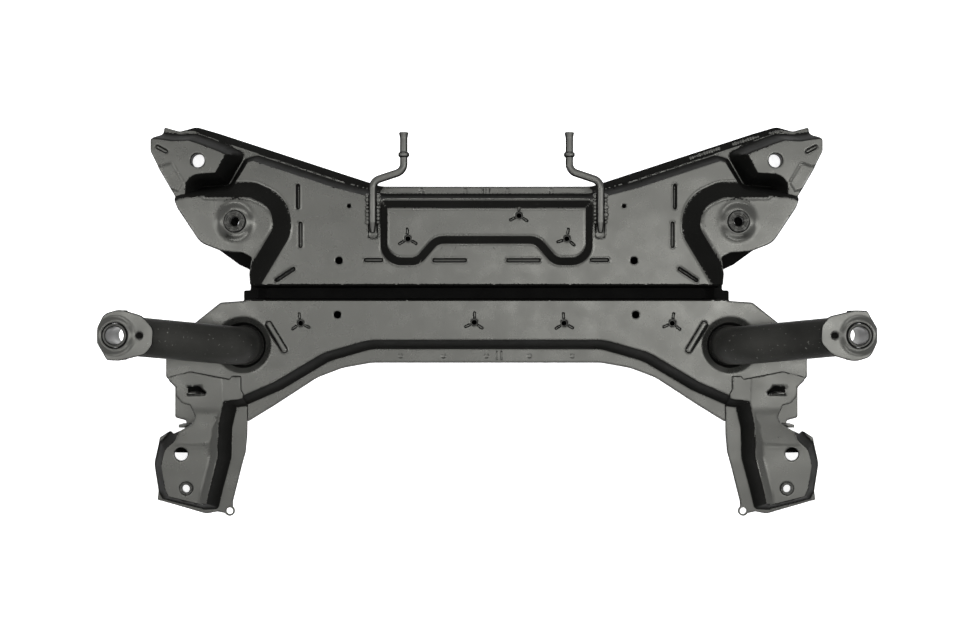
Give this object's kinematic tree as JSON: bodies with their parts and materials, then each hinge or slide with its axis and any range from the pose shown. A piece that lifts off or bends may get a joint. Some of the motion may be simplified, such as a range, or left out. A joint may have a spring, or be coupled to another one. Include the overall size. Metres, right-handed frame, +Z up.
{
  "type": "subframe",
  "caption": "Pressed and welded front suspension crossmember with rear ears, bush pads, raised mount tubes, front arms and hanger rods.",
  "frame": {"origin": "centre of the overall length and width, on the plane of the lower panel's flat underside", "axes": "+X across the car to its right side as seen from above with the rear at the top, +Y to the rear of the car, +Z up"},
  "size_m": [0.94, 0.5158, 0.203],
  "materials": {
    "panel_coat": "satin black electrocoat on pressed sheet",
    "arm_coat": "satin black electrocoat on pressed sheet",
    "inner_coat": "matt black electrocoat inside and below",
    "tube_coat": "satin black electrocoat with fine grain",
    "rod_coat": "satin black electrocoat on drawn bar",
    "weld_nut_coat": "electrocoat over a forged weld nut"
  },
  "bodies": {
    "root": {"arm_lower_plate_left": "arm_coat", "arm_lower_plate_right": "arm_coat", "arm_nut_left": "weld_nut_coat", "arm_nut_right": "weld_nut_coat", "arm_pivot_bracket_left": "arm_coat", "arm_pivot_bracket_right": "arm_coat", "bush_nut_left": "weld_nut_coat", "bush_nut_right": "weld_nut_coat", "front_arm_left": "arm_coat", "front_arm_right": "arm_coat", "front_panel_weld_nuts": "weld_nut_coat", "front_upper_panel": "panel_coat", "hanger_rod_left": "rod_coat", "hanger_rod_right": "rod_coat", "inner_cross_rib": "inner_coat", "inner_rib_left": "inner_coat", "inner_rib_right": "inner_coat", "lower_panel": "inner_coat", "mount_tube_left": "tube_coat", "mount_tube_right": "tube_coat", "rear_mount_collar_left": "inner_coat", "rear_mount_collar_right": "inner_coat", "rear_panel_weld_nuts": "weld_nut_coat", "rear_upper_panel": "panel_coat", "tube_end_bracket_left": "tube_coat", "tube_end_bracket_right": "tube_coat", "tube_end_sleeve_left": "tube_coat", "tube_end_sleeve_right": "tube_coat"}
  },
  "joints": []
}
